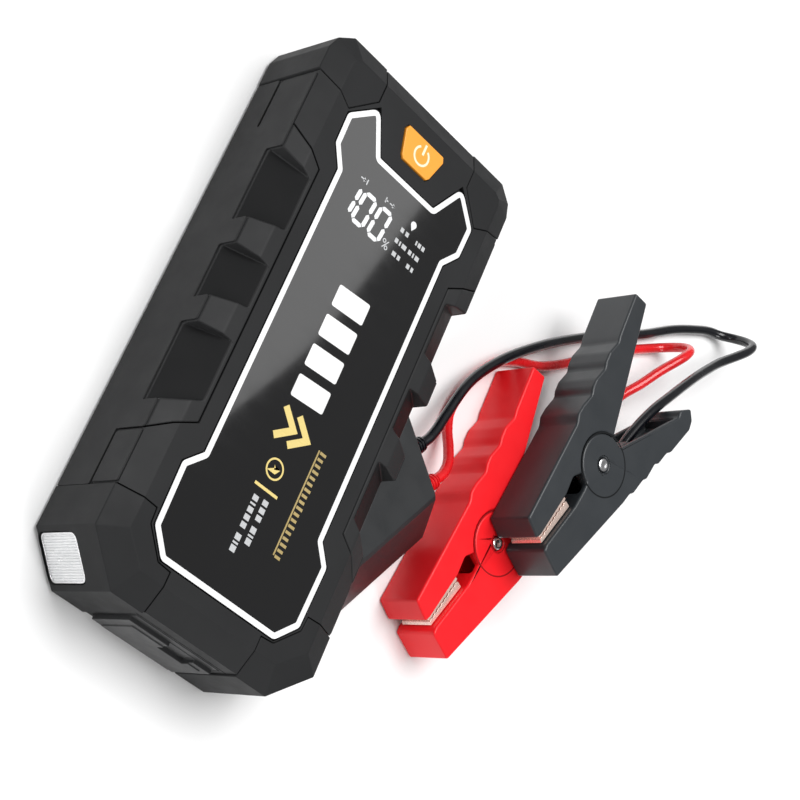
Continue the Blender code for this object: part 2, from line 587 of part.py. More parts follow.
lamp_board = outline("lamp_board", rounded_rect(LAMP_W - 3.0, LAMP_H - 3.0, 0.7), -6.6, -5.4, BOARD,
                     LAMP_FRAME)
boolean(lamp_board, cylinder("add_led", (0.0, 0.0), -5.8, -3.6, 1.8, 1.3, frame=LAMP_FRAME), 'UNION')

# ------------------------------------------------------------------ case screws
for i, (x, y) in enumerate(SCREWS):
    tip = 18.0 if y > 0 else 22.0
    screw = cylinder("case_screw_%d" % (i + 1), (x, y), 1.2, 3.0, 2.8, look=STEEL, sides=20)
    boolean(screw, cylinder("add_screw_%d" % i, (x, y), 2.6, tip, 1.25, sides=12), 'UNION')
    for a in (0.0, math.pi / 2):
        turn = Matrix.Translation((x * MM, y * MM, 0.0)) @ Matrix.Rotation(a, 4, 'Z')
        boolean(screw, box("cut_cross_%d_%d" % (i, int(a > 0)), (-1.7, -0.3, 0.0), (1.7, 0.3, 2.0),
                           frame=turn))

# ------------------------------------------------------------------ lead socket
TO_X = Matrix(((0, 0, 1, 0), (1, 0, 0, PLUG_Y * MM), (0, 1, 0, PLUG_Z * MM), (0, 0, 0, 1)))
socket = outline("lead_socket", rounded_rect(19.0, 9.2, 2.4), 24.0, HALF_W - 0.2, BLUE, TO_X)
boolean(socket, outline("cut_socket_mouth", rounded_rect(PLUG_W + 0.8, PLUG_H + 0.8, 2.0), 35.6,
                        50.0, frame=TO_X))
for k, sx in enumerate((-1, 1)):
    boolean(socket, cylinder("cut_sleeve_%d" % k, (sx * 0.5 * PIN_PITCH, 0.0), 20.0, 37.0, 3.15,
                             frame=TO_X))
    sleeve = cylinder("socket_contact_%d" % (k + 1), (sx * 0.5 * PIN_PITCH, 0.0), 22.6, 35.2, 2.85,
                      look=BRASS, frame=TO_X, sides=20)
    boolean(sleeve, cylinder("cut_contact_%d" % k, (sx * 0.5 * PIN_PITCH, 0.0), 26.0, 40.0, 2.25,
                             frame=TO_X, sides=20))

# ------------------------------------------------------------------ lead module
z_low, z_flank, z_top = MODULE_Z


def module_ring(t):
    """Plan outline of the sloping flank, t = 0 at its foot and 1 at the top face."""
    return [tuple(Vector(b).lerp(Vector(a), t)) for b, a in zip(MODULE_BASE, MODULE_TOP)]


upper = loft("module_top", [(module_ring(0.0), z_flank), (module_ring(0.94), z_top - 0.7),
                            (offset_outline(module_ring(1.0), -0.7), z_top)], SLATE)
boolean(upper, loft("cut_module_top", [(MODULE_INNER_BASE, z_flank - 2.0),
                                       (MODULE_INNER_BASE, z_flank + 0.2),
                                       (MODULE_INNER_TOP, z_top - 2.2)]))
base = loft("module_base", [(offset_outline(module_ring(0.0), -0.6), z_low),
                            (module_ring(0.0), z_low + 0.6), (module_ring(0.0), z_flank - GAP)],
            SLATE)
boolean(base, loft("cut_module_base", [(MODULE_INNER_BASE, z_low + 2.0),
                                       (MODULE_INNER_BASE, z_flank + 3.0)]))
plug_hole = outline("cut_plug_hole", rounded_rect(PLUG_W + 0.6, PLUG_H + 0.6, 1.9), 40.0, 47.0,
                    frame=TO_X)
boolean(upper, plug_hole)
boolean(base, plug_hole)

plug = outline("lead_plug", rounded_rect(PLUG_W, PLUG_H, 1.8), 36.4, 52.0, BLUE, TO_X)
boolean(plug, outline("add_plug_flange", rounded_rect(PLUG_W + 3.0, PLUG_H + 1.6, 2.4), 46.6, 50.0,
                      frame=TO_X), 'UNION')
for k, sx in enumerate((-1, 1)):
    boolean(plug, cylinder("cut_plug_bore_%d" % k, (sx * 0.5 * PIN_PITCH, 0.0), 30.0, 60.0, 2.15,
                           frame=TO_X, sides=20))
    cylinder("plug_pin_%d" % (k + 1), (sx * 0.5 * PIN_PITCH, 0.0), 27.2, 54.0, 1.95, look=BRASS,
             frame=TO_X, sides=20, bevel=0.5)
box("module_board", (55.0, -26.0, 4.6), (63.0, -6.0, 6.0), BOARD)

# strain reliefs on the module's end face
side_dir = Vector((0, 0, 1)).cross(EXIT_DIR)


def exit_frame(point):
    """Z along the cord's exit, at the end face of the module."""
    x_dir = side_dir
    y_dir = EXIT_DIR.cross(x_dir)
    return Matrix(((x_dir.x, y_dir.x, EXIT_DIR.x, point[0] * MM),
                   (x_dir.y, y_dir.y, EXIT_DIR.y, point[1] * MM),
                   (x_dir.z, y_dir.z, EXIT_DIR.z, EXIT_Z * MM), (0, 0, 0, 1)))


for name, point, look in (("relief_black", EXIT_BLACK, CORD_BLACK), ("relief_red", EXIT_RED, CORD_RED)):
    frame = exit_frame(point)
    relief = cylinder(name, (0.0, 0.0), 0.3, RELIEF_L, 3.3, 2.5, look=look, frame=frame)
    boolean(relief, cylinder("add_neck_" + name, (0.0, 0.0), -4.5, 1.0, 2.4, frame=frame), 'UNION')
    hole = cylinder("cut_neck_" + name, (0.0, 0.0), -6.0, 2.0, 2.7, frame=frame)
    boolean(upper, hole)


# ------------------------------------------------------------------ cords
def smooth_points(points, step):
    """Points on a smooth curve through the given ones, evenly spread along it."""
    pts = [Vector(p) for p in points]
    pts = [2 * pts[0] - pts[1]] + pts + [2 * pts[-1] - pts[-2]]
    fine = []
    for i in range(1, len(pts) - 2):
        a, b, c, d = pts[i - 1:i + 3]
        t0 = 0.0
        t1 = t0 + math.sqrt((b - a).length)
        t2 = t1 + math.sqrt((c - b).length)
        t3 = t2 + math.sqrt((d - c).length)
        for k in range(24):
            t = t1 + (t2 - t1) * k / 24.0
            a1 = a.lerp(b, (t - t0) / (t1 - t0))
            a2 = b.lerp(c, (t - t1) / (t2 - t1))
            a3 = c.lerp(d, (t - t2) / (t3 - t2))
            b1 = a1.lerp(a2, (t - t0) / (t2 - t0))
            b2 = a2.lerp(a3, (t - t1) / (t3 - t1))
            fine.append(b1.lerp(b2, (t - t1) / (t2 - t1)))
    fine.append(pts[-2])
    total = sum((q - p).length for p, q in zip(fine, fine[1:]))
    count = max(4, int(round(total / step)))
    out = [fine[0]]
    target = total / count
    run = 0.0
    for p, q in zip(fine, fine[1:]):
        seg = (q - p).length
        while run + seg >= target and len(out) < count:
            t = (target - run) / seg
            p = p.lerp(q, t)
            out.append(p)
            seg = (q - p).length
            run = 0.0
        run += seg
    out.append(fine[-1])
    return out


def cord(name, route, look):
    pts = smooth_points(route, 2.2 * CORD_D)
    curve = bpy.data.curves.new(name, 'CURVE')
    curve.dimensions = '3D'
    curve.bevel_depth = 0.5 * CORD_D * MM
    curve.bevel_resolution = 2
    curve.use_fill_caps = True
    spline = curve.splines.new('POLY')
    spline.points.add(len(pts) - 1)
    for point, p in zip(spline.points, pts):
        point.co = (p.x * MM, p.y * MM, p.z * MM, 1.0)
    obj = bpy.data.objects.new(name, curve)
    bpy.context.scene.collection.objects.link(obj)
    return place(obj, look)


cord("cord_black", BLACK_ROUTE, CORD_BLACK)
cord("cord_red", RED_ROUTE, CORD_RED)


# ------------------------------------------------------------------ clamps
def teeth(a, b, count, depth):
    """Saw edge from a to b, with its teeth toward the left of the direction of travel."""
    a = Vector(a)
    b = Vector(b)
    d = (b - a) / count
    n = Vector((-d.y, d.x)).normalized() * depth
    pts = []
    for k in range(count):
        pts.append(tuple(a + d * k))
        pts.append(tuple(a + d * (k + 0.5) + n))
    pts.append(tuple(b))
    return pts


def clamp(prefix, pivot, look):
    frame = Matrix.Translation([v * MM for v in pivot])
    t = CLAMP_T

    arm = outline(prefix + "_clamp_upper_arm", ARM_UPPER, 0.0, t, look, frame)
    boolean(arm, cylinder(prefix + "_add_ear", (0, 0), 1.0, t - 1.0, EAR_R, frame=frame, sides=32), 'UNION')
    for k, (z0, z1) in enumerate(((-2.0, CHEEK + GAP), (t - CHEEK - GAP, t + 2.0))):
        boolean(arm, cylinder("%s_cut_disc_%d" % (prefix, k), (0, 0), z0, z1, DISC_R + 0.4, frame=frame,
                              sides=32))
    boolean(arm, outline(prefix + "_cut_channel", ARM_UPPER_CUT, EAR_T, t - EAR_T, frame=frame))
    boolean(arm, cylinder(prefix + "_cut_bore", (0, 0), -2.0, t + 2.0, PIN_R + 0.3, frame=frame))

    low = outline(prefix + "_clamp_lower_arm", ARM_LOWER, 0.0, t, look, frame)
    boolean(low, cylinder(prefix + "_add_disc", (0, 0), 0.0, t, DISC_R, frame=frame, sides=32), 'UNION')
    boolean(low, outline(prefix + "_cut_lower_channel", ARM_LOWER_CUT, CHEEK, t - CHEEK, frame=frame))
    boolean(low, cylinder(prefix + "_cut_lower_bore", (0, 0), -2.0, t + 2.0, PIN_R + 0.3, frame=frame))

    cylinder(prefix + "_clamp_rivet", (0, 0), 0.15, t + 0.15, PIN_R, look=STEEL, frame=frame, bevel=0.2)

    up = [(-14.2, -34.3), (-13.0, -34.6)] + teeth((-12.9, -34.2), (-8.5, -17.6), 8, -0.35) + [(-10.2, -17.3)]
    outline(prefix + "_clamp_upper_contact", up, 2.2, t - 2.2, COPPER, frame)
    down = [(-11.4, -35.6), (-5.8, -18.9)] + teeth((-7.9, -18.2), (-12.3, -34.9), 8, -0.35)
    outline(prefix + "_clamp_lower_contact", down, 2.2, t - 2.2, COPPER, frame)

    # torsion spring round the rivet, with a leg into each handle
    wire = 1.2
    coil_r = 3.9
    turns = 4
    pitch = 1.45
    z0 = 0.5 * t - 0.5 * turns * pitch
    pts = [(-9.2, 24.0, z0), (-6.6, 12.0, z0)]
    start = math.radians(180.0)
    for k in range(turns * 12 + 1):
        a = start + 2.0 * math.pi * k / 12.0 * 1.0
        pts.append((coil_r * math.cos(a), coil_r * math.sin(a), z0 + pitch * k / 12.0))
    z1 = z0 + pitch * turns
    pts = pts[:-1]
    pts += [(-3.7, -1.4, z1), (0.5, -5.4, z1), (7.0, -4.6, z1), (12.0, 0.2, z1)]
    curve = bpy.data.curves.new(prefix + "_clamp_spring", 'CURVE')
    curve.dimensions = '3D'
    curve.bevel_depth = 0.5 * wire * MM
    curve.bevel_resolution = 1
    curve.use_fill_caps = True
    spline = curve.splines.new('POLY')
    spline.points.add(len(pts) - 1)
    for point, p in zip(spline.points, pts):
        point.co = (p[0] * MM, p[1] * MM, p[2] * MM, 1.0)
    obj = bpy.data.objects.new(prefix + "_clamp_spring", curve)
    bpy.context.scene.collection.objects.link(obj)
    obj.matrix_world = frame
    place(obj, STEEL)

    ax = ANCHOR_DIR
    turn = frame @ Matrix(((ax.x, -ax.y, 0, ANCHOR[0] * MM), (ax.y, ax.x, 0, ANCHOR[1] * MM),
                           (0, 0, 1, 0), (0, 0, 0, 1)))
    box(prefix + "_cord_anchor", (-3.0, -3.2, CHEEK + GAP), (3.0, 3.2, t - CHEEK - GAP), look, turn)


clamp("red", RED_PIVOT, RED)
clamp("black", BLACK_PIVOT, SLATE)
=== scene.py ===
"""Looks of the jump starter pack: camera, light, materials, graphics, cords and fine pieces."""
import bpy
import bmesh
import math
from mathutils import Matrix, Vector


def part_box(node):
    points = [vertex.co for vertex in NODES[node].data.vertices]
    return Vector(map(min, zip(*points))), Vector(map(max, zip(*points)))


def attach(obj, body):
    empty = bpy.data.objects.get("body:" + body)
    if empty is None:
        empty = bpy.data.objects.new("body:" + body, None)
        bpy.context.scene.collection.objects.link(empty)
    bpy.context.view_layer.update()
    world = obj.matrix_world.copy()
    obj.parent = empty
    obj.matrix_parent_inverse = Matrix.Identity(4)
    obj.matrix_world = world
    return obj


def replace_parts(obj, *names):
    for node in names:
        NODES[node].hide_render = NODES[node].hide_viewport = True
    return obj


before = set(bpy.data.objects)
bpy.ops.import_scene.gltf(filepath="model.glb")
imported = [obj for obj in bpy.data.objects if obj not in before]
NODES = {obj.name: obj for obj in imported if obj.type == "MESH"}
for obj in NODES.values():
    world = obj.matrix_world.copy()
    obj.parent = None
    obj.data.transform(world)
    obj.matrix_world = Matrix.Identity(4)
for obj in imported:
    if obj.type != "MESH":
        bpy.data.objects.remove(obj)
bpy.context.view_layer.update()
MM = 0.001
FLOOR_DROP = 0.2                 # the floor lies this far under the part, against flicker
CARD_DISTANCE = 0.9              # metres from the face to the studio card, along the reflection
CARD_FAR_X = -60.0               # face x where the far side of the card would show
FACE_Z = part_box("display_panel")[1].z / MM       # height of the display face


def mm(x, y, z):
    return Vector((x, y, z)) * MM


# ------------------------------------------------------------------ camera
CAMERA_AT = mm(-280.81, -226.74, 443.81)
LOOKS_AT = mm(41.7, 16.06, 16.0)
ROLL = math.radians(84.48)       # the pack's long side runs up the frame
LENS = 86.77

forward = (LOOKS_AT - CAMERA_AT).normalized()
level = forward.cross(Vector((0, 0, 1))).normalized()
upright = level.cross(forward)
right = level * math.cos(ROLL) + upright * math.sin(ROLL)
up = right.cross(forward)
cam_data = bpy.data.cameras.new("camera")
cam_data.lens = LENS
cam_data.sensor_width = 36.0
cam_data.clip_start = 0.02
camera = bpy.data.objects.new("camera", cam_data)
bpy.context.scene.collection.objects.link(camera)
camera.matrix_world = Matrix((
    (right.x, up.x, -forward.x, CAMERA_AT.x), (right.y, up.y, -forward.y, CAMERA_AT.y),
    (right.z, up.z, -forward.z, CAMERA_AT.z), (0, 0, 0, 1)))
bpy.context.scene.camera = camera


# ------------------------------------------------------------------ node helpers
class Shader:
    """A material with a Principled shader and short calls for its nodes."""

    def __init__(self, name, colour, rough=0.5, metal=0.0):
        self.mat = bpy.data.materials.new(name)
        self.mat.use_nodes = True
        self.tree = self.mat.node_tree
        self.bsdf = self.tree.nodes["Principled BSDF"]
        self.set("Base Color", (*colour, 1.0))
        self.set("Roughness", rough)
        self.set("Metallic", metal)
        self.mat.diffuse_color = (*colour, 1.0)
        self.where = self.tree.nodes.new("ShaderNodeTexCoord").outputs["Object"]

    def set(self, socket, value):
        self.bsdf.inputs[socket].default_value = value

    def node(self, kind, **props):
        made = self.tree.nodes.new(kind)
        for key, value in props.items():
            setattr(made, key, value)
        return made

    def link(self, a, b):
        self.tree.links.new(a, b)

    def stretch(self, scale):
        m = self.node("ShaderNodeMapping")
        m.inputs["Scale"].default_value = scale
        self.link(self.where, m.inputs["Vector"])
        return m.outputs["Vector"]

    def noise(self, size_mm, detail=2.0, rough=0.5, vector=None, distortion=0.0):
        n = self.node("ShaderNodeTexNoise")
        n.inputs["Scale"].default_value = 1000.0 / size_mm
        n.inputs["Detail"].default_value = detail
        n.inputs["Roughness"].default_value = rough
        n.inputs["Distortion"].default_value = distortion
        self.link(vector or self.where, n.inputs["Vector"])
        return n.outputs["Fac"]

    def cells(self, size_mm, feature='F1'):
        v = self.node("ShaderNodeTexVoronoi", feature=feature)
        v.inputs["Scale"].default_value = 1000.0 / size_mm
        self.link(self.where, v.inputs["Vector"])
        return v.outputs["Distance"]

    def ramp(self, fac, stops):
        r = self.node("ShaderNodeValToRGB")
        r.color_ramp.elements[0].position, r.color_ramp.elements[0].color = stops[0]
        r.color_ramp.elements[1].position, r.color_ramp.elements[1].color = stops[-1]
        for position, colour in stops[1:-1]:
            r.color_ramp.elements.new(position).color = colour
        self.link(fac, r.inputs["Fac"])
        return r.outputs["Color"]

    def span(self, fac, low, high):
        m = self.node("ShaderNodeMapRange")
        m.inputs["From Min"].default_value = 0.3
        m.inputs["From Max"].default_value = 0.7
        m.inputs["To Min"].default_value = low
        m.inputs["To Max"].default_value = high
        self.link(fac, m.inputs["Value"])
        return m.outputs["Result"]

    def tint(self, fac, dark, light):
        self.link(self.ramp(fac, [(0.3, (*dark, 1.0)), (0.7, (*light, 1.0))]),
                  self.bsdf.inputs["Base Color"])

    def roughness(self, fac, low, high):
        self.link(self.span(fac, low, high), self.bsdf.inputs["Roughness"])

    def bump(self, height, strength, distance_mm, after=None):
        b = self.node("ShaderNodeBump")
        b.inputs["Strength"].default_value = strength
        b.inputs["Distance"].default_value = distance_mm * MM
        self.link(height, b.inputs["Height"])
        if after:
            self.link(after, b.inputs["Normal"])
        self.link(b.outputs["Normal"], self.bsdf.inputs["Normal"])
        return b.outputs["Normal"]


def shade(colour, factor):
    return tuple(min(1.0, c * factor) for c in colour)


def moulded(name, colour, rough, grain=0.42, depth=0.03, vary=0.10, coat=0.0, spec=0.5):
    """Moulded plastic with a fine spark-eroded grain and faint tone changes."""
    s = Shader(name, colour, rough)
    s.set("Specular IOR Level", spec)
    broad = s.noise(38.0, 3.0, 0.55)
    s.tint(broad, shade(colour, 1.0 - vary), shade(colour, 1.0 + vary))
    s.roughness(s.noise(9.0, 4.0, 0.6), rough - 0.05, rough + 0.07)
    first = s.bump(s.noise(grain, 3.0, 0.65), 0.55, depth)
    s.bump(s.cells(grain * 1.7), 0.25, depth * 0.6, first)
    if coat:
        s.set("Coat Weight", coat)
        s.set("Coat Roughness", 0.18)
    return s.mat


def rubbery(name, colour, rough):
    s = Shader(name, colour, rough)
    s.tint(s.noise(22.0, 4.0, 0.6), shade(colour, 0.86), shade(colour, 1.18))
    s.roughness(s.noise(5.0, 4.0, 0.6), rough - 0.06, rough + 0.08)
    s.bump(s.noise(0.5, 4.0, 0.7), 0.5, 0.025)
    s.set("Sheen Weight", 0.08)
    s.set("Sheen Roughness", 0.5)
    return s.mat


def glossy(name, colour, rough=0.07, coat=0.6):
    """Polished plastic or ink under the clear face, with faint wipe marks."""
    s = Shader(name, colour, rough)
    s.tint(s.noise(30.0, 2.0), shade(colour, 0.94), shade(colour, 1.06))
    s.roughness(s.noise(14.0, 5.0, 0.62, s.stretch((1.0, 3.2, 1.0))), rough * 0.75, rough * 1.6)
    s.bump(s.noise(6.0, 2.0), 0.10, 0.010)
    s.set("Coat Weight", coat)
    s.set("Coat Roughness", 0.04)
    return s.mat


def metal(name, colour, rough, along=(1.0, 1.0, 1.0), size=0.5, whole=1.0):
    s = Shader(name, colour, rough, whole)
    s.tint(s.noise(4.0, 4.0, 0.6), shade(colour, 0.86), shade(colour, 1.08))
    lines = s.noise(size, 3.0, 0.6, s.stretch(along))
    s.roughness(lines, rough - 0.07, rough + 0.10)
    s.bump(lines, 0.25, 0.012)
    return s.mat


def silicone(name, colour, rough):
    s = Shader(name, colour, rough)
    s.tint(s.noise(18.0, 3.0, 0.6), shade(colour, 0.85), shade(colour, 1.2))
    s.roughness(s.noise(3.5, 4.0, 0.6), rough - 0.05, rough + 0.08)
    s.bump(s.noise(1.4, 3.0, 0.6), 0.10, 0.02)
    s.set("Specular IOR Level", 0.3)
    s.set("Coat Weight", 0.7)
    s.set("Coat Roughness", 0.07)
    return s.mat


def board(name):
    s = Shader(name, (0.02, 0.12, 0.05), 0.4)
    tracks = s.node("ShaderNodeTexBrick")
    tracks.inputs["Scale"].default_value = 260.0
    tracks.inputs["Color1"].default_value = (0.018, 0.11, 0.045, 1.0)
    tracks.inputs["Color2"].default_value = (0.022, 0.14, 0.055, 1.0)
    tracks.inputs["Mortar"].default_value = (0.05, 0.24, 0.10, 1.0)
    s.link(s.where, tracks.inputs["Vector"])
    s.link(tracks.outputs["Color"], s.bsdf.inputs["Base Color"])
    s.roughness(s.noise(2.0), 0.32, 0.48)
    return s.mat


M = {
    "case": moulded("case_plastic", (0.0240, 0.0244, 0.0252), 0.46, vary=0.12, spec=0.09),
    "rail": moulded("rail_plastic", (0.0262, 0.0266, 0.0274), 0.45, vary=0.12, spec=0.12),
    # painted shade: a darker copy of the rail plastic for the notch floors, which lie in shade
    "notch": moulded("notch_painted_shade", (0.0105, 0.0107, 0.0112), 0.52, spec=0.15),
    "guard": moulded("guard_plastic", (0.0220, 0.0224, 0.0232), 0.48, grain=0.5, depth=0.035, spec=0.09),
    "cover": rubbery("cover_rubber", (0.012, 0.0125, 0.0135), 0.52),
    "panel": glossy("panel_gloss", (0.0045, 0.0045, 0.0050), 0.05, 1.0),
    "white": glossy("white_ink", (0.86, 0.86, 0.86), 0.22, 0.4),
    "digit": glossy("digit_white", (0.80, 0.81, 0.82), 0.20, 0.4),
    "soft_white": glossy("soft_white_ink", (0.52, 0.53, 0.54), 0.25, 0.4),
    "gold": glossy("gold_ink", (0.78, 0.62, 0.22), 0.25, 0.4),
    "dull_gold": glossy("dull_gold_ink", (0.42, 0.32, 0.13), 0.25, 0.4),
    "button": moulded("button_orange", (0.93, 0.36, 0.030), 0.36, depth=0.012, vary=0.05,
                      coat=0.2),
    "cream": glossy("icon_cream", (0.93, 0.84, 0.60), 0.30, 0.2),
    "silver": metal("lamp_silver", (0.80, 0.80, 0.81), 0.20, (1, 1, 6), 1.2),
    "steel": metal("steel", (0.62, 0.62, 0.64), 0.26, (1, 1, 8), 0.6),
    "copper": metal("copper", (0.93, 0.72, 0.63), 0.24, (8, 1, 1), 0.5, 0.55),
    "brass": metal("brass", (0.83, 0.63, 0.28), 0.25, (1, 8, 8), 0.5),
    "board": board("circuit_board"),
    "pouch": metal("pouch_foil", (0.60, 0.62, 0.66), 0.34, (1, 3, 1), 3.0),
    "foam": rubbery("foam", (0.03, 0.03, 0.032), 0.85),
    "blue": moulded("socket_blue", (0.02, 0.07, 0.34), 0.38, depth=0.015),
    "red": moulded("clamp_red", (0.90, 0.012, 0.018), 0.36, grain=0.6, depth=0.018, vary=0.07,
                   coat=0.12, spec=0.25),
    "slate": moulded("clamp_slate", (0.024, 0.028, 0.032), 0.40, grain=0.6, depth=0.018,
                     vary=0.10, coat=0.12),
    # painted shade: darker copies of the clamp colours for the ring round each pivot disc
    "red_shade": moulded("groove_red_painted_shade", (0.30, 0.004, 0.006), 0.5, depth=0.01, spec=0.2),
    "slate_shade": moulded("groove_slate_painted_shade", (0.006, 0.007, 0.008), 0.5, depth=0.01, spec=0.2),
    "module": moulded("module_slate", (0.018, 0.0195, 0.021), 0.40, grain=0.5, depth=0.018, coat=0.1),
    "cord_red": silicone("cord_red_silicone", (0.74, 0.010, 0.014), 0.26),
    "cord_black": silicone("cord_black_silicone", (0.0022, 0.0028, 0.0050), 0.30),
    "dark": moulded("dark_recess", (0.012, 0.012, 0.013), 0.6),
}


def lens_shader():
    s = Shader("lamp_lens_clear", (0.93, 0.93, 0.94), 0.18)
    s.tint(s.noise(5.0, 3.0), (0.88, 0.89, 0.90), (0.96, 0.96, 0.97))
    s.roughness(s.noise(2.5, 3.0), 0.14, 0.30)
    s.bump(s.noise(1.0, 2.0), 0.15, 0.02)
    s.set("Transmission Weight", 0.12)
    s.set("IOR", 1.49)
    s.set("Coat Weight", 0.5)
    return s.mat


M["lens"] = lens_shader()


def paint(obj, mat):
    obj.data.materials.clear()
    obj.data.materials.append(M[mat] if isinstance(mat, str) else mat)
    return obj


# ------------------------------------------------------------------ stage and light
def floor():
    bm = bmesh.new()
    bmesh.ops.create_grid(bm, x_segments=1, y_segments=1, size=4.0)
    mesh = bpy.data.meshes.new("floor")
    bm.to_mesh(mesh)
    bm.free()
    obj = bpy.data.objects.new("floor", mesh)
    bpy.context.scene.collection.objects.link(obj)
    obj.location.z = -FLOOR_DROP * MM
    s = Shader("floor_paper", (0.93, 0.93, 0.93), 0.75)
    s.tint(s.noise(300.0, 2.0), (0.92, 0.92, 0.92), (0.94, 0.94, 0.94))
    s.set("Specular IOR Level", 0.1)
    obj.data.materials.append(s.mat)


floor()


def area(name, at, to, size, power):
    data = bpy.data.lights.new(name, 'AREA')
    data.energy = power
    data.size = size
    obj = bpy.data.objects.new(name, data)
    bpy.context.scene.collection.objects.link(obj)
    obj.location = Vector(at)
    obj.rotation_euler = (Vector(to) - Vector(at)).to_track_quat('-Z', 'Y').to_euler()
    return obj


area("key_soft", (-0.15, 0.45, 1.6), (0.05, 0.0, 0.0), 1.2, 29.0)
area("fill_left", (-1.3, -0.2, 0.8), (0.0, 0.0, 0.02), 0.7, 0.8)
area("rim_right", (1.0, -0.9, 0.9), (0.08, 0.0, 0.0), 0.5, 5.0)
area("fill_low", (-0.42, -0.42, 0.20), (-0.04, -0.09, 0.015), 0.25, 1.0)
bpy.context.scene.view_settings.view_transform = 'Standard'


def face_point(x, y):
    return mm(x, y, FACE_Z)


def reflected(x, y, distance):
    """Where a viewer at the camera's place sees a light in the polished face at x, y."""
    p = face_point(x, y)
    ray = (p - CAMERA_AT).normalized()
    ray.z = -ray.z
    return p + ray * distance


def soft_card():
    """Studio card whose slanted edge shows as the pale part of the polished face."""
    edge = [(12.5, 84.0), (8.2, 62.0), (3.6, 43.0), (-0.5, 25.0), (-3.6, 12.0), (-7.5, 0.0),
            (-12.2, -11.0), (-17.5, -22.0), (-23.5, -34.0), (-30.0, -47.0)]
    bm = bmesh.new()
    near = [bm.verts.new(reflected(x, y, CARD_DISTANCE)) for x, y in edge]
    far = [bm.verts.new(reflected(CARD_FAR_X, y, CARD_DISTANCE)) for x, y in edge]
    for i in range(len(edge) - 1):
        bm.faces.new((near[i], near[i + 1], far[i + 1], far[i]))
    mesh = bpy.data.meshes.new("soft_card")
    bm.to_mesh(mesh)
    bm.free()
    obj = bpy.data.objects.new("soft_card", mesh)
    bpy.context.scene.collection.objects.link(obj)
    mat = bpy.data.materials.new("soft_card_light")
    mat.use_nodes = True
    tree = mat.node_tree
    tree.nodes.clear()
    glow = tree.nodes.new("ShaderNodeEmission")
    glow.inputs["Strength"].default_value = 1.6
    end = tree.nodes.new("ShaderNodeOutputMaterial")
    tree.links.new(glow.outputs["Emission"], end.inputs["Surface"])
    mesh.materials.append(mat)


soft_card()
world = bpy.data.worlds.new("studio")
bpy.context.scene.world = world
world.use_nodes = True
world.node_tree.nodes["Background"].inputs["Color"].default_value = (1.0, 1.0, 1.0, 1.0)
world.node_tree.nodes["Background"].inputs["Strength"].default_value = 0.22


# ------------------------------------------------------------------ mesh helpers
def new_object(name, mesh, mat, body):
    obj = bpy.data.objects.new(name, mesh)
    bpy.context.scene.collection.objects.link(obj)
    paint(obj, mat)
    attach(obj, body)
    return obj


def soften(node, width, segments=3, angle=24.0, mat=None, near=0.16, clamp=True):
    """Rounds a CAD piece's edges with modifiers; its own mesh stays as it is."""
    obj = NODES[node]
    for poly in obj.data.polygons:
        poly.use_smooth = True
    weld = obj.modifiers.new("weld", 'WELD')
    weld.merge_threshold = near * MM
    flat = obj.modifiers.new("flat", 'DECIMATE')
    flat.decimate_type = 'DISSOLVE'
    flat.angle_limit = math.radians(0.6)
    bevel = obj.modifiers.new("round", 'BEVEL')
    bevel.width = width * MM
    bevel.segments = segments
    bevel.limit_method = 'ANGLE'
    bevel.angle_limit = math.radians(angle)
    bevel.use_clamp_overlap = clamp
    bevel.miter_outer = 'MITER_ARC'
    even = obj.modifiers.new("even", 'WEIGHTED_NORMAL')
    even.mode = 'FACE_AREA'
    even.weight = 100
    even.keep_sharp = True
    if mat:
        paint(obj, mat)
    return obj


def fillet(pts, radius, steps=5):
    """Round the corners of an outline, each radius held to the sides it has."""
    out = []
    count = len(pts)
    for i, point in enumerate(pts):
        a, b, c = Vector(pts[i - 1]), Vector(point), Vector(pts[(i + 1) % count])
        d0, d1 = (a - b), (c - b)
        turn = d0.angle(d1)
        reach = min(radius / max(0.05, math.tan(turn / 2)), 0.45 * d0.length, 0.45 * d1.length)
        if abs(turn - math.pi) < 0.02:
            out.append(tuple(point))
            continue
        p, q = b + d0.normalized() * reach, b + d1.normalized() * reach
        for k in range(steps + 1):
            t = k / steps
            out.append(tuple(p * (1 - t) ** 2 + b * (2 * t * (1 - t)) + q * t ** 2))
    return out


def band(pts, width, closed=False):
    """Outline polygons of a stroke along points: a list of quads."""
    n = len(pts)
    left, rite = [], []
    for i in range(n):
        here = Vector(pts[i])
        before = Vector(pts[i - 1]) if (i or closed) else here
        after = Vector(pts[(i + 1) % n]) if (i < n - 1 or closed) else here
        d0 = (here - before).normalized() if (here - before).length > 1e-9 else None
        d1 = (after - here).normalized() if (after - here).length > 1e-9 else None
        d0 = d0 or d1
        d1 = d1 or d0
        n0, n1 = Vector((-d0.y, d0.x)), Vector((-d1.y, d1.x))
        b = (n0 + n1).normalized()
        grow = 0.5 * width / max(0.4, b.dot(n0))
        left.append(here + b * grow)
        rite.append(here - b * grow)
    quads = []
    for i in range(n if closed else n - 1):
        j = (i + 1) % n
        quads.append([rite[i], rite[j], left[j], left[i]])
    return quads


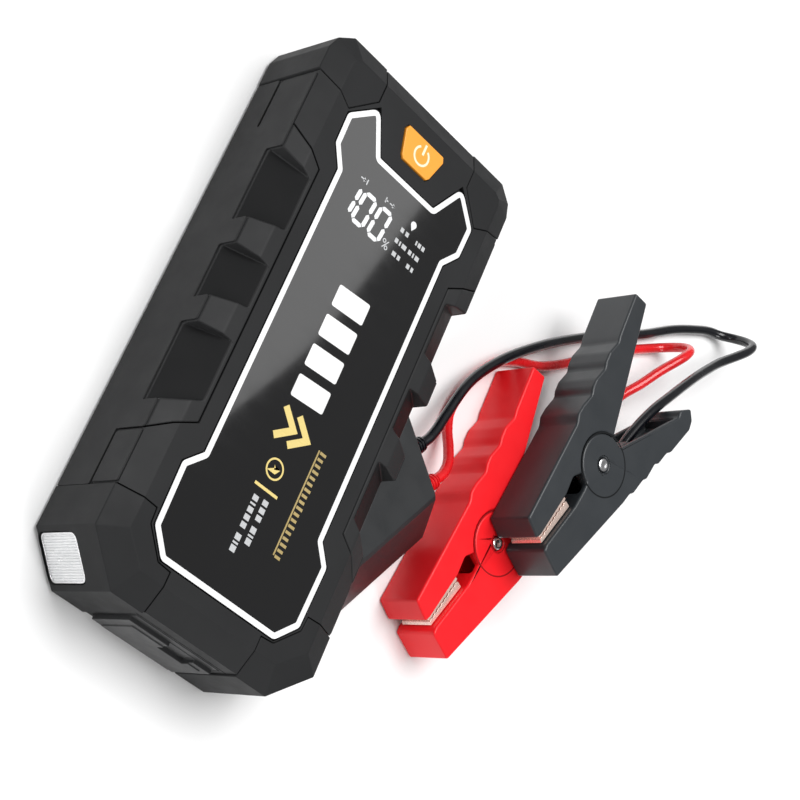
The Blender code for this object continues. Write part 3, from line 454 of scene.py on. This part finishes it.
def print_on(name, shapes, mat, body="case", z=None, thick=0.05):
    """Thin printed or inlaid shapes on the display face; each shape is a flat polygon."""
    z = FACE_Z if z is None else z
    bm = bmesh.new()
    for poly in shapes:
        verts = [bm.verts.new((p[0] * MM, p[1] * MM, z * MM)) for p in poly]
        bm.faces.new(verts)
    bmesh.ops.remove_doubles(bm, verts=bm.verts, dist=0.00001)
    bmesh.ops.recalc_face_normals(bm, faces=bm.faces)
    for f in bm.faces:
        if f.normal.z < 0:
            f.normal_flip()
    made = bmesh.ops.extrude_face_region(bm, geom=list(bm.faces))
    tops = [g for g in made["geom"] if isinstance(g, bmesh.types.BMVert)]
    bmesh.ops.translate(bm, vec=(0, 0, thick * MM), verts=tops)
    bmesh.ops.recalc_face_normals(bm, faces=bm.faces)
    mesh = bpy.data.meshes.new(name)
    bm.to_mesh(mesh)
    bm.free()
    return new_object(name, mesh, mat, body)


def slab(name, shapes, matrix, thick, mat, body, bevel=0.0):
    """Flat plate of the given outlines, raised along the matrix's third axis."""
    bm = bmesh.new()
    for poly in shapes:
        bm.faces.new([bm.verts.new((p[0] * MM, p[1] * MM, 0.0)) for p in poly])
    bmesh.ops.remove_doubles(bm, verts=bm.verts, dist=0.00001)
    bmesh.ops.recalc_face_normals(bm, faces=bm.faces)
    made = bmesh.ops.extrude_face_region(bm, geom=list(bm.faces))
    tops = [g for g in made["geom"] if isinstance(g, bmesh.types.BMVert)]
    bmesh.ops.translate(bm, vec=(0, 0, thick * MM), verts=tops)
    bmesh.ops.transform(bm, matrix=matrix, verts=bm.verts)
    bmesh.ops.recalc_face_normals(bm, faces=bm.faces)
    mesh = bpy.data.meshes.new(name)
    bm.to_mesh(mesh)
    bm.free()
    obj = new_object(name, mesh, mat, body)
    if bevel:
        for poly in mesh.polygons:
            poly.use_smooth = True
        edge = obj.modifiers.new("round", 'BEVEL')
        edge.width = bevel * MM
        edge.segments = 2
        edge.limit_method = 'ANGLE'
        edge.angle_limit = math.radians(40.0)
        even = obj.modifiers.new("even", 'WEIGHTED_NORMAL')
        even.mode = 'FACE_AREA'
        even.weight = 100
    return obj


def axes(u, v, w, origin):
    """Matrix whose first three columns are u, v and w, at an origin in millimetres."""
    o = Vector(origin) * MM
    return Matrix(((u[0], v[0], w[0], o.x), (u[1], v[1], w[1], o.y), (u[2], v[2], w[2], o.z), (0, 0, 0, 1)))


def arc(cx, cy, r, a0, a1, steps=40):
    return [(cx + r * math.cos(math.radians(a0 + (a1 - a0) * k / steps)),
             cy + r * math.sin(math.radians(a0 + (a1 - a0) * k / steps))) for k in range(steps + 1)]


def rect(x0, y0, x1, y1):
    return [(x0, y0), (x1, y0), (x1, y1), (x0, y1)]


# ------------------------------------------------------------------ case pieces
for node in ("front_shell", "rear_shell"):
    soften(node, 0.45, 3, 9.0, "case")
for node in ("corner_guard_top_right", "corner_guard_top_left", "corner_guard_bottom_right",
             "corner_guard_bottom_left"):
    soften(node, 0.55, 3, 9.0, "guard")
for node in ("grip_rail_right", "grip_rail_left"):
    rail = soften(node, 0.5, 3, 9.0, "rail")
    # the slanted notch floors get the darker copy of the rail plastic: painted shade
    rail.data.materials.append(M["notch"])
    for poly in rail.data.polygons:
        if 0.7 < poly.normal.z < 0.83 and abs(poly.normal.x) > 0.55:
            poly.material_index = 1
soften("port_cover", 0.3, 3, 25.0, "cover")
soften("power_button", 0.5, 4, 25.0, "button")
soften("lead_socket", 0.4, 3, 25.0, "blue")
soften("lead_plug", 0.4, 3, 25.0, "blue")
soften("module_top", 0.7, 4, 9.0, "module")
soften("module_base", 0.5, 3, 9.0, "module")
soften("dc_jack", 0.25, 2, 25.0, "dark")
for node in ("usb_a_1", "usb_a_2", "usb_c"):
    soften(node, 0.12, 2, 25.0, "steel")
for node, look in (("battery_cell_1", "pouch"), ("battery_cell_2", "pouch"),
                   ("battery_cell_3", "pouch"), ("cell_busbar", "steel"), ("cell_foam", "foam"),
                   ("main_board", "board"), ("port_board", "board"), ("lamp_board", "board"),
                   ("module_board", "board"), ("display_module", "dark"),
                   ("button_switch", "steel"), ("lamp_reflector", "silver"),
                   ("socket_contact_1", "brass"), ("socket_contact_2", "brass"),
                   ("plug_pin_1", "brass"), ("plug_pin_2", "brass")):
    soften(node, 0.15, 2, 30.0, look)
for k in range(1, 5):
    soften("case_screw_%d" % k, 0.2, 2, 30.0, "steel")

# ------------------------------------------------------------------ wall skins
WALL = 41.8
SKIN = 0.5                        # the skins lie level with the corner guards
NOTCHES = ((21.7, 46.9), (-4.9, 13.1), (-38.6, -13.0))


def wall_outline(socket):
    """Side wall as y and z, left open round the lead socket where there is one."""
    pts = [(-64.75, 1.3)]
    if socket:
        pts += [(-26.4, 1.3), (-26.4, 12.8), (-5.6, 12.8), (-5.6, 1.3)]
    pts += [(74.85, 1.3), (74.85, 11.5), (57.6, 11.5), (56.7, 12.1), (57.6, 12.7), (73.8, 12.7),
            (73.8, 28.9)]
    for y0, y1 in NOTCHES:
        pts += [(y1, 28.9), (y1, 22.0), (y0, 22.0), (y0, 28.9)]
    return pts + [(-47.4, 28.9), (-47.4, 16.3), (-64.75, 16.3)]


for side, name in ((-1, "left"), (1, "right")):
    place = axes((0, 1, 0), (0, 0, 1), (side, 0, 0), (side * WALL, 0, 0))
    slab("wall_skin_" + name, [fillet(wall_outline(side > 0), 0.7, 3)], place, SKIN, "case", "case", 0.2)
    slab("wall_pad_" + name, [fillet([(-64.1, 17.2), (-48.3, 17.2), (-48.3, 28.9), (-64.1, 28.9)], 0.7, 3)],
         place, SKIN, "case", "case", 0.2)

# ------------------------------------------------------------------ lamp
LAMP_W, LAMP_H = 14.0, 16.8
LAMP_RIBS = 17
LAMP_AT = axes((0.7162, -0.6979, 0), (0, 0, 1), (-0.6979, -0.7162, 0), (-35.52, -83.28, 10.0))


def round_rect(w, h, r):
    return fillet([(-w / 2, -h / 2), (w / 2, -h / 2), (w / 2, h / 2), (-w / 2, h / 2)], r, 6)


def lamp_lens():
    """Clear plate with upright ribs, rounded at its corners."""
    half_w, half_h, corner = 0.5 * LAMP_W - 0.45, 0.5 * LAMP_H - 0.45, 1.9
    bm = bmesh.new()
    rows = []
    steps = LAMP_RIBS * 6
    for k in range(steps + 1):
        u = -half_w + 2.0 * half_w * k / steps
        over = max(0.0, abs(u) - (half_w - corner))
        v = half_h - corner + math.sqrt(max(0.01, corner * corner - over * over))
        turn = 2.0 * ((k / 6.0) % 1.0) - 1.0
        w = -0.40 + 0.34 * math.sqrt(max(0.0, 1.0 - turn * turn))
        rows.append([bm.verts.new((a * MM, b * MM, c * MM))
                     for a, b, c in ((u, -v, w), (u, v, w), (u, v, -1.5), (u, -v, -1.5))])
    for a, b in zip(rows[:-1], rows[1:]):
        for i in range(4):
            j = (i + 1) % 4
            bm.faces.new((a[i], a[j], b[j], b[i]))
    bm.faces.new(rows[0])
    bm.faces.new(rows[-1])
    bmesh.ops.transform(bm, matrix=LAMP_AT, verts=bm.verts)
    bmesh.ops.recalc_face_normals(bm, faces=bm.faces)
    mesh = bpy.data.meshes.new("lamp_ribs")
    bm.to_mesh(mesh)
    bm.free()
    return new_object("lamp_ribs", mesh, "lens", "case")


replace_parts(lamp_lens(), "lamp_lens")
frame_ring = slab("lamp_frame", band(round_rect(LAMP_W - 0.6, LAMP_H - 0.6, 2.0), 0.6, True),
                  LAMP_AT @ Matrix.Translation((0, 0, -1.8 * MM)), 2.1, "silver", "case", 0.1)
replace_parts(frame_ring, "lamp_bezel")

# ------------------------------------------------------------------ printed face
BORDER = [(21.5, -75.5), (27.4, -68.9), (28.0, -50.4), (23.0, -44.7), (23.2, 52.0), (27.7, 58.3),
          (28.0, 68.2), (19.7, 76.1), (12.9, 63.7)]
BORDER_RING = BORDER + [(-x, y) for x, y in reversed(BORDER)]


def face_glass():
    """Polished cover of the display with a fine chamfer round it; flat on top."""
    rings = []
    base = fillet(BORDER_RING, 1.2, 4)
    bm = bmesh.new()
    for grow, z in ((1.96, FACE_Z - 1.35), (1.96, FACE_Z - 0.12), (1.72, FACE_Z)):
        quads = band(base, grow, True)
        side = max((0, 2), key=lambda k: sum(q[k].length for q in quads))
        rings.append([bm.verts.new((q[side].x * MM, q[side].y * MM, z * MM)) for q in quads])
    n = len(base)
    for low, high in zip(rings[:-1], rings[1:]):
        for i in range(n):
            j = (i + 1) % n
            bm.faces.new((low[i], low[j], high[j], high[i]))
    bm.faces.new(rings[0])
    bm.faces.new(rings[-1])
    bmesh.ops.recalc_face_normals(bm, faces=bm.faces)
    mesh = bpy.data.meshes.new("face_glass")
    bm.to_mesh(mesh)
    bm.free()
    glass = new_object("face_glass", mesh, "panel", "case")
    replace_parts(glass, "display_panel")


face_glass()
print_on("face_border", band(fillet(BORDER_RING, 1.7, 6), 1.72, True), "white")

# display digits, seven bars each, leaning with the display
LEAN = 0.105


def seven_bars(bars, x, y, w, h, t):
    """Bars of one display digit with its lower left corner at x, y."""
    s, g = t * 0.5, t * 0.12
    mid = y + 0.5 * h

    def flat(y0, x0, x1):
        return [(x0, y0), (x0 + s, y0 + s), (x1 - s, y0 + s), (x1, y0), (x1 - s, y0 - s),
                (x0 + s, y0 - s)]

    def tall(x0, y0, y1):
        return [(x0, y0), (x0 + s, y0 + s), (x0 + s, y1 - s), (x0, y1), (x0 - s, y1 - s),
                (x0 - s, y0 + s)]

    lo, hi, le, ri = y + s, y + h - s, x + s, x + w - s
    every = {"a": flat(hi, le + g, ri - g), "d": flat(lo, le + g, ri - g), "g": flat(mid, le + g, ri - g),
             "b": tall(ri, mid + g, hi - g), "c": tall(ri, lo + g, mid - g),
             "f": tall(le, mid + g, hi - g), "e": tall(le, lo + g, mid - g)}
    return [[(px + LEAN * (py - y), py) for px, py in every[b]] for b in bars]


digits = seven_bars("bc", -19.9, 42.2, 5.9, 10.8, 1.45)
digits += seven_bars("abcdef", -13.6, 41.5, 6.0, 11.6, 1.45)
digits += seven_bars("abcdef", -6.6, 41.5, 6.0, 11.6, 1.45)
print_on("display_digits", digits, "digit")
percent = band(arc(1.0, 44.3, 0.55, 0, 360, 16)[:-1], 0.34, True)
percent += band(arc(2.4, 42.6, 0.55, 0, 360, 16)[:-1], 0.34, True)
percent += band([(0.9, 42.0), (2.7, 44.9)], 0.34)
print_on("display_percent", percent, "soft_white")


def arrow(x, y, sign):
    """Small arrow into or out of a cell mark."""
    out = band([(x - 1.1, y), (x + 1.1, y)], 0.42)
    tip = x + 1.3 * sign
    out += [[(tip, y), (tip - 1.1 * sign, y + 0.8), (tip - 1.1 * sign, y - 0.8)]]
    return out


print_on("flow_marks", arrow(-14.6, 55.2, 1) + band([(-12.9, 54.3), (-12.9, 56.1)], 0.42)
         + arrow(-1.6, 55.2, 1) + band([(-4.4, 54.3), (-4.4, 56.1)], 0.42)
         + band([(-4.4, 55.2), (-3.4, 55.2)], 0.42), "soft_white")

drop = arc(8.4, 55.3, 1.15, -25, 205, 22) + [(8.4, 53.2)]
print_on("lamp_mark", [drop], "digit")


def dashes(x, y, widths, gap, height):
    out = []
    for w in widths:
        out.append(rect(x, y - 0.5 * height, x + w, y + 0.5 * height))
        x += w + gap
    return out


rows = dashes(4.7, 51.2, (1.3, 1.3), 0.9, 1.5) + dashes(11.6, 51.2, (0.6, 1.2, 1.2), 0.5, 1.5)
rows += dashes(4.3, 47.1, (1.3, 0.6, 1.9), 0.6, 1.5) + dashes(10.4, 47.1, (1.3, 0.6, 1.6), 0.6, 1.5)
rows += dashes(5.2, 43.0, (1.6, 1.2), 0.7, 1.5) + dashes(11.8, 43.0, (1.3, 1.0), 0.7, 1.5)
print_on("output_marks", rows, "soft_white")

# charge gauge: four slanted bars and a pair of chevrons
bars = []
for top in (24.3, 14.1, 3.9, -6.3):
    bars.append(fillet([(-6.7, top - 8.4), (6.0, top - 7.2), (6.0, top), (-6.7, top - 1.2)], 0.8, 5))
print_on("gauge_bars", bars, "white")
chevrons = band([(-6.2, -18.2), (-0.6, -22.9), (-6.2, -27.6)], 2.2)
chevrons += band([(-0.6, -18.2), (5.0, -22.9), (-0.6, -27.6)], 2.2)
print_on("gauge_chevrons", chevrons, "gold")

# bolt in a ring, rule and small ticks
print_on("bolt_ring", band(arc(-1.0, -35.7, 2.95, 0, 360, 48)[:-1], 0.55, True), "gold")
print_on("bolt_mark", [[(0.9, -35.1), (-1.6, -34.6), (-1.2, -36.0)],
                       [(-3.6, -37.0), (-0.3, -37.0), (-0.9, -35.2)],
                       [(-1.6, -34.6), (0.9, -35.1), (-0.3, -37.0), (-0.9, -35.2)]], "gold")
print_on("face_rule", [rect(-5.3, -42.7, 3.7, -41.8)], "gold")


def tick_column(x, y, steps, height, width):
    out = []
    for long, space in steps:
        out.append(rect(x, y - long, x + height, y))
        y -= long + space
    return out


small = tick_column(-0.2, -44.8, ((1.7, 0.7), (1.7, 0.7), (1.7, 1.9), (1.9, 0.6), (0.6, 0.5),
                                  (1.9, 0.6)), 2.0, 1.0)
small += tick_column(-3.9, -45.2, ((1.7, 0.7), (0.6, 0.7), (1.7, 0.7), (1.7, 0.7), (1.7, 1.9), (1.9, 0.6),
                                   (0.6, 0.5), (1.9, 0.5)), 2.0, 1.0)
print_on("range_ticks", small, "soft_white")
scale = [rect(10.0, -56.4, 10.5, -22.6)]
for k in range(18):
    y = -22.6 - 1.96 * k
    scale.append(rect(10.8, y - 0.9, 12.9 if k % 3 else 13.2, y))
print_on("gold_scale", scale, "dull_gold")

# power mark on the button
BUTTON_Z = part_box("power_button")[1].z / MM
mark = band(arc(0.3, 75.1, 2.95, -238, 58, 44), 0.72)
mark += band([(0.5, 75.6), (0.5, 79.3)], 0.85)
print_on("power_mark", mark, "cream", "button", BUTTON_Z, 0.05)


# ------------------------------------------------------------------ turned pieces
def lathe(name, profile, matrix, mat, body, steps=40):
    """Closed turned solid; profile is (radius, height) from the axis out and back to it."""
    bm = bmesh.new()
    rings = []
    for r, h in profile:
        if r < 1e-6:
            rings.append([bm.verts.new((0, 0, h * MM))])
        else:
            rings.append([bm.verts.new((r * MM * math.cos(2 * math.pi * k / steps),
                                        r * MM * math.sin(2 * math.pi * k / steps), h * MM))
                          for k in range(steps)])
    for a, b in zip(rings[:-1], rings[1:]):
        for k in range(steps):
            j = (k + 1) % steps
            if len(a) == 1:
                bm.faces.new((a[0], b[j], b[k]))
            elif len(b) == 1:
                bm.faces.new((a[k], a[j], b[0]))
            else:
                bm.faces.new((a[k], a[j], b[j], b[k]))
    bmesh.ops.recalc_face_normals(bm, faces=bm.faces)
    for f in bm.faces:
        f.smooth = True
    mesh = bpy.data.meshes.new(name)
    bm.to_mesh(mesh)
    bm.free()
    mesh.transform(matrix)
    mesh.set_sharp_from_angle(angle=math.radians(32))
    return new_object(name, mesh, mat, body)


def frame_at(origin, z_axis, x_hint=(0, 0, 1)):
    z = Vector(z_axis).normalized()
    x = Vector(x_hint)
    x = (x - z * x.dot(z)).normalized()
    y = z.cross(x)
    o = Vector(origin) * MM
    return Matrix(((x.x, y.x, z.x, o.x), (x.y, y.y, z.y, o.y), (x.z, y.z, z.z, o.z), (0, 0, 0, 1)))


EXIT_DIR = Vector((0.575, 0.818, 0.0)).normalized()
for side, point, look in (("black", (54.5, 5.0, 12.0), "cord_black"),
                          ("red", (64.8, -2.2, 12.0), "cord_red")):
    profile = [(0.0, -4.4), (2.35, -4.4), (2.35, 0.3), (3.25, 0.35), (3.3, 0.7)]
    for k in range(5):
        h = 1.1 + 1.25 * k
        r = 3.25 - 0.13 * k
        profile += [(r, h), (r - 0.05, h + 0.45), (r - 0.5, h + 0.6), (r - 0.5, h + 0.95),
                    (r - 0.12, h + 1.1)]
    profile += [(2.55, 7.5), (2.45, 7.9), (2.1, 8.0), (0.0, 8.0)]
    boot = lathe("boot_" + side, profile, frame_at(point, EXIT_DIR), look, "lead")
    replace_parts(boot, "relief_" + side)


# ------------------------------------------------------------------ cords
def through(points, step):
    """Evenly spread points on a smooth curve through the given ones."""
    pts = [Vector(p) for p in points]
    pts = [2 * pts[0] - pts[1]] + pts + [2 * pts[-1] - pts[-2]]
    fine = []
    for i in range(1, len(pts) - 2):
        a, b, c, d = pts[i - 1:i + 3]
        t0 = 0.0
        t1 = t0 + math.sqrt((b - a).length)
        t2 = t1 + math.sqrt((c - b).length)
        t3 = t2 + math.sqrt((d - c).length)
        for k in range(24):
            t = t1 + (t2 - t1) * k / 24.0
            a1 = a.lerp(b, (t - t0) / (t1 - t0))
            a2 = b.lerp(c, (t - t1) / (t2 - t1))
            a3 = c.lerp(d, (t - t2) / (t3 - t2))
            b1 = a1.lerp(a2, (t - t0) / (t2 - t0))
            b2 = a2.lerp(a3, (t - t1) / (t3 - t1))
            fine.append(b1.lerp(b2, (t - t1) / (t2 - t1)))
    fine.append(pts[-2])
    total = sum((q - p).length for p, q in zip(fine, fine[1:]))
    count = max(4, int(round(total / step)))
    out = [fine[0]]
    goal = total / count
    run = 0.0
    for p, q in zip(fine, fine[1:]):
        seg = (q - p).length
        while run + seg >= goal and len(out) < count:
            p = p.lerp(q, (goal - run) / seg)
            out.append(p)
            seg = (q - p).length
            run = 0.0
        run += seg
    out.append(fine[-1])
    return out, total


CORD_D = 3.5
RED_ROUTE = [(69.75, 4.95, 12.0), (71.8, 8.2, 11.7), (73.1, 13.0, 10.4), (73.2, 19.0, 7.6), (72.6, 25.5, 4.4),
             (72.3, 32.0, 2.4), (73.4, 39.0, 2.0), (75.6, 46.0, 2.0), (78.8, 52.6, 2.0), (83.0, 58.9, 2.0),
             (90.0, 63.9, 2.0), (100.3, 68.8, 2.0), (109.8, 75.8, 2.0), (121.4, 86.6, 2.0),
             (137.0, 100.1, 2.0), (145.9, 106.8, 2.0), (150.4, 110.0, 3.4), (152.9, 111.4, 7.3),
             (153.4, 111.0, 11.9), (152.1, 108.5, 15.8), (149.2, 104.0, 17.4), (142.9, 93.8, 14.6),
             (139.2, 86.2, 11.6), (134.8, 78.9, 9.2), (122.8, 56.0, 7.6), (117.6, 42.0, 7.2),
             (115.0, 30.0, 7.8), (113.8, 21.0, 8.5), (112.3, 15.0, 8.6), (111.6, 13.1, 8.6)]
BLACK_ROUTE = [(59.4, 12.0, 12.0), (61.0, 14.5, 11.9), (62.8, 18.8, 11.4), (64.8, 25.6, 10.5),
               (70.3, 42.1, 8.6), (79.6, 56.6, 7.4), (94.8, 73.0, 5.6), (112.0, 88.1, 3.6),
               (126.6, 99.5, 2.3), (140.2, 109.1, 2.0), (154.4, 120.8, 2.0), (162.6, 126.5, 2.0),
               (171.8, 132.0, 2.0), (177.3, 133.6, 3.5), (180.7, 133.9, 7.6), (182.0, 132.7, 12.4),
               (181.2, 130.0, 16.5), (178.1, 125.5, 18.2), (165.1, 111.6, 18.8), (158.4, 103.9, 20.4),
               (152.5, 96.8, 22.2), (145.8, 88.0, 24.2), (140.0, 79.8, 25.6), (135.1, 72.3, 26.2),
               (131.0, 64.0, 26.2), (128.2, 56.6, 26.1), (126.9, 52.4, 26.1), (126.3, 50.5, 26.1)]


def wire(name, pts, radius, mat, body, bevel=6):
    curve = bpy.data.curves.new(name, 'CURVE')
    curve.dimensions = '3D'
    curve.bevel_depth = radius * MM
    curve.bevel_resolution = bevel
    curve.use_fill_caps = True
    spline = curve.splines.new('POLY')
    spline.points.add(len(pts) - 1)
    for point, p in zip(spline.points, pts):
        point.co = (p[0] * MM, p[1] * MM, p[2] * MM, 1.0)
    spline.use_smooth = True
    return new_object(name, curve, mat, body)


for side, route in (("black", BLACK_ROUTE), ("red", RED_ROUTE)):
    pts, length = through(route, 1.1)
    lead = wire("lead_" + side, pts, 0.5 * CORD_D, "cord_" + side, "lead")
    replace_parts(lead, "cord_" + side)

# ------------------------------------------------------------------ clamps
CLAMP_T = 17.2
PIVOTS = {"red": Vector((99.0, -1.2, 0.0)), "black": Vector((113.7, 36.2, 17.5))}
for side, look in (("red", "red"), ("black", "slate")):
    for arm in ("upper", "lower"):
        soften("%s_clamp_%s_arm" % (side, arm), 0.8, 4, 13.0, look, 0.02, False)
        soften("%s_clamp_%s_contact" % (side, arm), 0.12, 2, 25.0, "copper", 0.02)
    soften(side + "_cord_anchor", 0.6, 3, 25.0, look)
    pivot = PIVOTS[side]
    # painted shade: a thin dark ring laid on the face where the groove round the pivot disc is shaded
    ring = band(arc(0.0, 0.0, 10.5, 0, 360, 64)[:-1], 0.5, True)
    slab("pivot_groove_shade_" + side, ring, axes((1, 0, 0), (0, 1, 0), (0, 0, 1), pivot + Vector((0, 0, CLAMP_T))),
         0.03, look + "_shade", "red_right" if side == "red" else "lead")
    # rivet with a domed head on top and a flat one on the side it rests on
    h = 0.5 * CLAMP_T
    half = [(2.15, 0.0), (2.15, h - 0.35), (2.05, h - 0.05), (1.75, h + 0.12), (1.2, h + 0.15),
            (0.9, h + 0.02), (0.0, h - 0.05)]
    base = [(0.0, -h), (1.9, -h), (2.1, 0.2 - h)]
    profile = base + half[1:]
    rivet = lathe("rivet_" + side, profile, frame_at(pivot + Vector((0, 0, h)), (0, 0, 1), (1, 0, 0)),
                  "silver", "lead")
    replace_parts(rivet, side + "_clamp_rivet")
    # torsion spring
    turns, pitch, coil = 4, 1.45, 3.9
    z0 = h - 0.5 * turns * pitch
    # the leg that bears on the upper arm turns with it, along the coil's first turn
    leg = [(-9.2, 24.0, z0), (-6.6, 12.0, z0), (-coil, 0.0, z0)]
    wire("spring_leg_" + side, [Vector(p) + pivot for p in leg], 0.6, "steel", side + "_left", 4)
    pts = []
    for k in range(-2, turns * 24):
        a = math.pi + 2.0 * math.pi * k / 24.0
        pts.append((coil * math.cos(a), coil * math.sin(a), z0 + pitch * k / 24.0))
    z1 = z0 + pitch * turns
    pts += [(-3.7, -1.4, z1), (0.5, -5.4, z1), (7.0, -4.6, z1), (12.0, 0.2, z1)]
    spring = wire("spring_" + side, [Vector(p) + pivot for p in pts], 0.6, "steel", "lead", 4)
    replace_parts(spring, side + "_clamp_spring")
